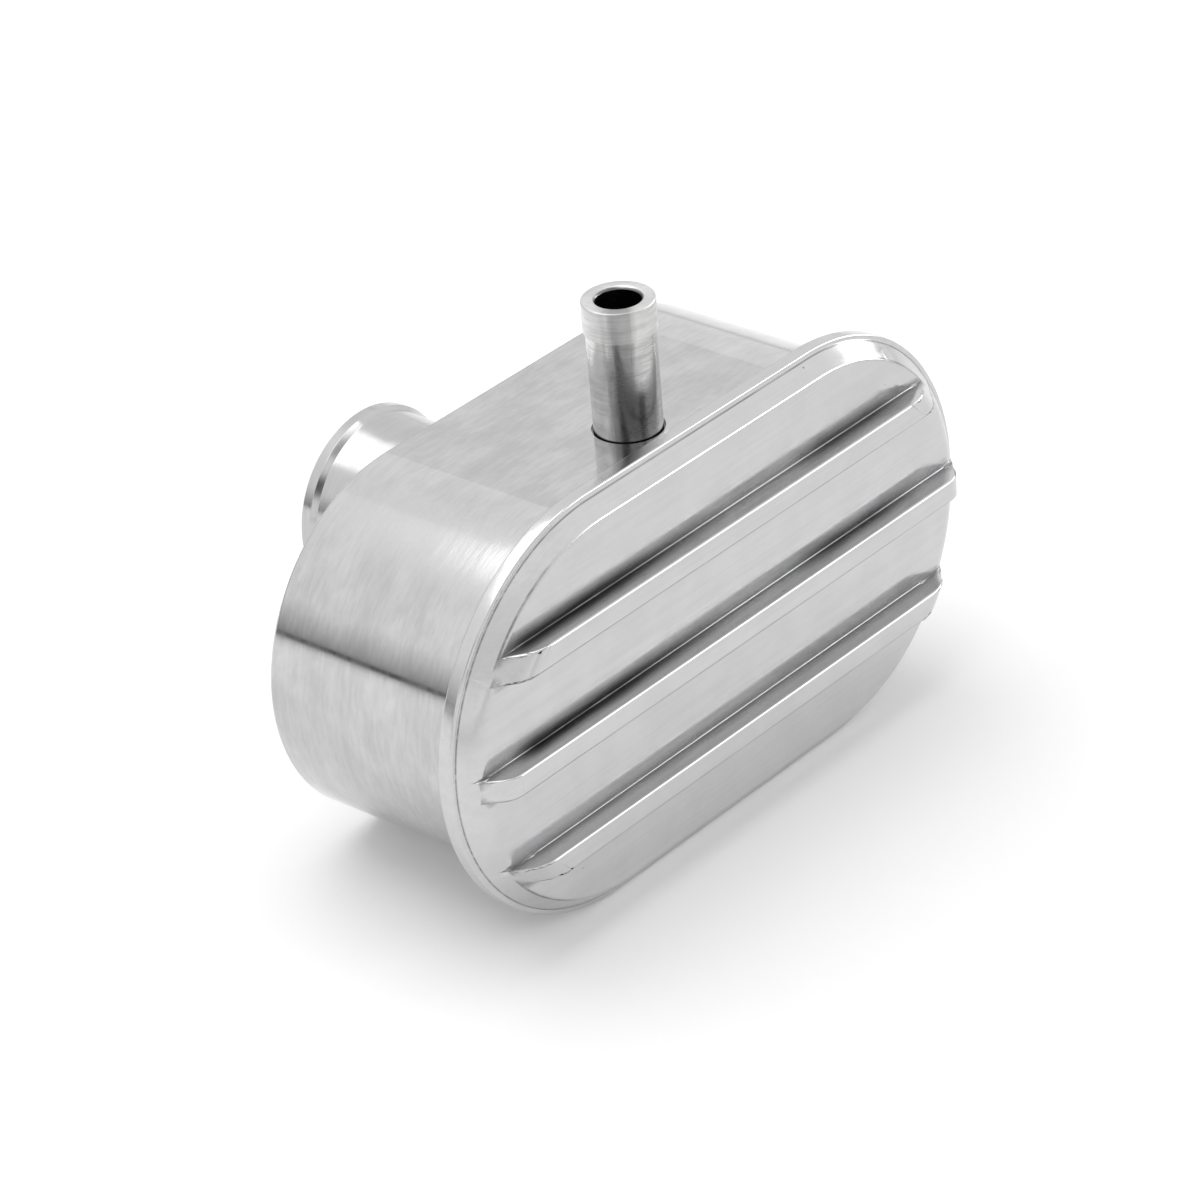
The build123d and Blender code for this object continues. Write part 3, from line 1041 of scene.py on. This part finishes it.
class BREATHER_OT_fittings(bpy.types.Operator):
    """Finishes the gaskets, screws, baffle and filter pack"""

    bl_idname = "breather.fittings"
    bl_label = "Fittings"

    def execute(self, context):
        finish = context.scene.breather_finish
        rubber = make_matt_finish(
            "Gasket rubber", RUBBER, (0.75, 0.9), 0.02 * MM, scale=2500.0, detail=3.0
        )
        pad = make_matt_finish(
            "Filter pad fibre", FIBRE, (0.6, 0.95), 0.4 * MM, scale=1400.0, detail=5.0, roughness=0.7
        )
        dull = finish.gloss * 2
        zinc = metal_finish("Zinc plated steel", ZINC, dull, (400, 400, 400))[0]
        sheet = metal_finish("Mill finish sheet", BARE_SHEET, dull, (2000, 60, 60))[0]
        for name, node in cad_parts.items():
            if "gasket" in name:
                finish_node(node, rubber)
            elif name == "filter_pad":
                finish_node(node, pad)
            elif "screw" in name:
                finish_node(node, zinc)
            elif "screen" in name or "baffle" in name:
                finish_node(node, sheet)
        return {"FINISHED"}


def finish_node(node, material):
    """Gives every material slot of a CAD node this finish."""
    for slot in node.material_slots:
        slot.material = material
    if not node.material_slots:
        node.data.materials.append(material)


def make_floor_finish():
    """Pale table top that stays white where no shadow falls."""
    material = bpy.data.materials.new("Table top")
    material.use_nodes = True
    tree = material.node_tree
    tree.nodes.clear()
    output = tree.nodes.new("ShaderNodeOutputMaterial")
    lit = tree.nodes.new("ShaderNodeBsdfDiffuse")
    lit.inputs["Color"].default_value = FLOOR_COLOUR
    glow = tree.nodes.new("ShaderNodeEmission")
    glow.inputs["Color"].default_value = WHITE
    seen = seen_rays(tree, tree.nodes.new("ShaderNodeLightPath"))
    tree.links.new(times(tree, seen, FLOOR_GLOW), glow.inputs["Strength"])
    total = tree.nodes.new("ShaderNodeAddShader")
    tree.links.new(lit.outputs[0], total.inputs[0])
    tree.links.new(glow.outputs[0], total.inputs[1])
    tree.links.new(total.outputs[0], output.inputs["Surface"])
    return material


def lit_area(tree, turn, height, turns, heights, soft):
    """Soft-edged area of the studio between two turns and two heights, in degrees."""
    return times(tree, window(tree, turn, *turns, soft), window(tree, height, *heights, soft))


def make_studio_world():
    """White studio with a softbox and an open doorway at the right.

    Turns are in degrees from the camera's side, to the right, and heights in degrees over the floor."""
    world = bpy.data.worlds.new("Studio")
    world.use_nodes = True
    bpy.context.scene.world = world
    tree = world.node_tree
    tree.nodes.clear()
    output = tree.nodes.new("ShaderNodeOutputWorld")
    sky = tree.nodes.new("ShaderNodeBackground")
    sky.inputs["Color"].default_value = WHITE
    tree.links.new(sky.outputs[0], output.inputs["Surface"])
    way = tree.nodes.new("ShaderNodeTexCoord").outputs["Generated"]
    level = tree.nodes.new("ShaderNodeMapping")
    tree.links.new(way, level.inputs["Vector"])
    level.inputs["Rotation"].default_value = (-REST_TILT, 0, 0)
    along, across, rise = axes_of(tree, level.outputs["Vector"])
    ahead_x, ahead_y = TOWARDS_CAMERA
    ahead = times(tree, along, ahead_x)
    ahead = maths(tree, "ADD", ahead, times(tree, across, ahead_y))
    aside = times(tree, along, -ahead_y)
    aside = maths(tree, "ADD", aside, times(tree, across, ahead_x))
    turn = maths(tree, "DEGREES", maths(tree, "ARCTAN2", aside, ahead))
    height = maths(tree, "DEGREES", maths(tree, "ARCSINE", rise))

    # Two walls that meet behind the part, darker near the floor on the left, and a dark ceiling
    walls = between(tree, maths(tree, "ABSOLUTE", turn), 144.6, 145.4, 1.08, 1.0)
    low = between(tree, height, 0.0, 17.0, 0.7, 0.0, "LINEAR")
    left = between(tree, turn, -60.0, -35.0, 1.0, 0.0)
    tone = times(tree, walls, maths(tree, "SUBTRACT", 1.0, times(tree, low, left)))
    tone = times(tree, tone, between(tree, height, 60.0, 66.0, 1.0, 0.35))

    # Grey areas: the table's far edge, a doorway under a slanting edge, a column, a stand and a screen
    table_edge = times(tree, window(tree, height, -3.0, 1.6, 0.3), left)
    slope, door_turn = 0.8, 101.0
    slant = maths(tree, "SUBTRACT", height, slope * door_turn)
    slant = maths(tree, "MULTIPLY_ADD", turn, slope, slant)
    under_slant = between(tree, slant, 37.2, 38.6, 1.0, 0.0)
    doorway = times(tree, window(tree, turn, 97.5, 110.0, 2.0), under_slant)
    column = lit_area(tree, turn, height, turns=(136.0, 142.0), heights=(2.0, 13.0), soft=1.0)
    stand = lit_area(tree, turn, height, turns=(-32.0, -2.0), heights=(22.0, 42.0), soft=5.0)
    screen = window(tree, height, 14.0, 46.0, 12.0)
    screen = times(tree, window(tree, turn, 0.0, 80.0, 6.0), screen)
    darkness = ((doorway, 0.62), (column, 0.6), (stand, 0.9), (screen, 0.17), (table_edge, 0.8))
    for area, share in darkness:
        tone = times(tree, tone, maths(tree, "MULTIPLY_ADD", area, -share, 1.0))

    # The softbox, and less of the studio's light for rays that only light matt surfaces
    softbox = lit_area(tree, turn, height, turns=(84.0, 133.0), heights=(4.0, 24.0), soft=1.5)
    tone = maths(tree, "MULTIPLY_ADD", softbox, SOFTBOX_STRENGTH, tone)
    ray = tree.nodes.new("ShaderNodeLightPath")
    lighting = maths(tree, "MULTIPLY_ADD", seen_rays(tree, ray), 1.0 - UNSEEN_SHARE, UNSEEN_SHARE)
    tone = times(tree, tone, lighting)
    backdrop = maths(tree, "MAXIMUM", tone, ray.outputs["Is Camera Ray"])
    tree.links.new(backdrop, sky.inputs["Strength"])


class BREATHER_OT_stage(bpy.types.Operator):
    """Sets the floor, the light and the camera"""

    bl_idname = "breather.stage"
    bl_label = "Stage"

    def execute(self, context):
        settings = context.scene.breather_stage
        up = Vector((0, -math.sin(REST_TILT), math.cos(REST_TILT)))
        deselect_all()
        bpy.ops.mesh.primitive_plane_add(
            size=settings.floor_size, location=up * -REST_DEPTH, rotation=(REST_TILT, 0, 0)
        )
        floor = bpy.context.object
        floor.name = "floor"
        bpy.ops.object.transform_apply()
        floor.data.materials.append(make_floor_finish())

        bpy.ops.object.light_add(type="AREA", location=up * LAMP_HEIGHT + Vector(LAMP_SHIFT))
        lamp = bpy.context.object
        lamp.name = "overhead_lamp"
        lamp.rotation_euler = (REST_TILT, 0, 0)
        lamp.data.shape = "SQUARE"
        lamp.data.size = LAMP_SIZE
        lamp.data.energy = settings.lamp_power

        make_studio_world()
        right, rise = Vector(CAMERA_RIGHT), Vector(CAMERA_UP)
        bpy.ops.object.camera_add()
        camera = bpy.context.object
        camera.name = "camera"
        turn = Matrix((right, rise, right.cross(rise))).transposed().to_4x4()
        camera.matrix_world = Matrix.Translation(CAMERA_PLACE) @ turn
        camera.data.lens = settings.lens
        camera.data.clip_start = 0.01
        context.scene.camera = camera
        context.scene.view_settings.view_transform = "Standard"
        return {"FINISHED"}


class BREATHER_PT_panel(bpy.types.Panel):
    """Buttons and sizes of the breather"""

    bl_idname = "BREATHER_PT_panel"
    bl_label = "Valve cover breather"
    bl_space_type = "VIEW_3D"
    bl_region_type = "UI"
    bl_category = "Breather"

    def draw(self, context):
        layout = self.layout
        for operator in OPERATORS:
            layout.operator(operator.bl_idname)
        for name, group in SETTINGS:
            box = layout.box()
            for key in group.__annotations__:
                box.prop(getattr(context.scene, name), key)


SETTINGS = (
    ("breather_cover", BreatherCoverSettings),
    ("breather_canister", BreatherCanisterSettings),
    ("breather_neck", BreatherNeckSettings),
    ("breather_tube", BreatherTubeSettings),
    ("breather_finish", BreatherFinishSettings),
    ("breather_stage", BreatherStageSettings),
)
OPERATORS = (
    BREATHER_OT_cover,
    BREATHER_OT_canister,
    BREATHER_OT_neck,
    BREATHER_OT_tube,
    BREATHER_OT_fittings,
    BREATHER_OT_stage,
)


def register():
    """Registers the classes and their settings."""
    for name, group in SETTINGS:
        bpy.utils.register_class(group)
        setattr(bpy.types.Scene, name, bpy.props.PointerProperty(type=group))
    for kind in OPERATORS + (BREATHER_PT_panel,):
        bpy.utils.register_class(kind)


def unregister():
    """Removes the classes and their settings."""
    for kind in reversed(OPERATORS + (BREATHER_PT_panel,)):
        bpy.utils.unregister_class(kind)
    for name, group in reversed(SETTINGS):
        delattr(bpy.types.Scene, name)
        bpy.utils.unregister_class(group)


def main():
    """Builds every piece, then the stage."""
    register()
    bpy.ops.breather.cover()
    bpy.ops.breather.canister()
    bpy.ops.breather.neck()
    bpy.ops.breather.tube()
    bpy.ops.breather.fittings()
    bpy.ops.breather.stage()
    deselect_all()


if __name__ == "__main__":
    main()
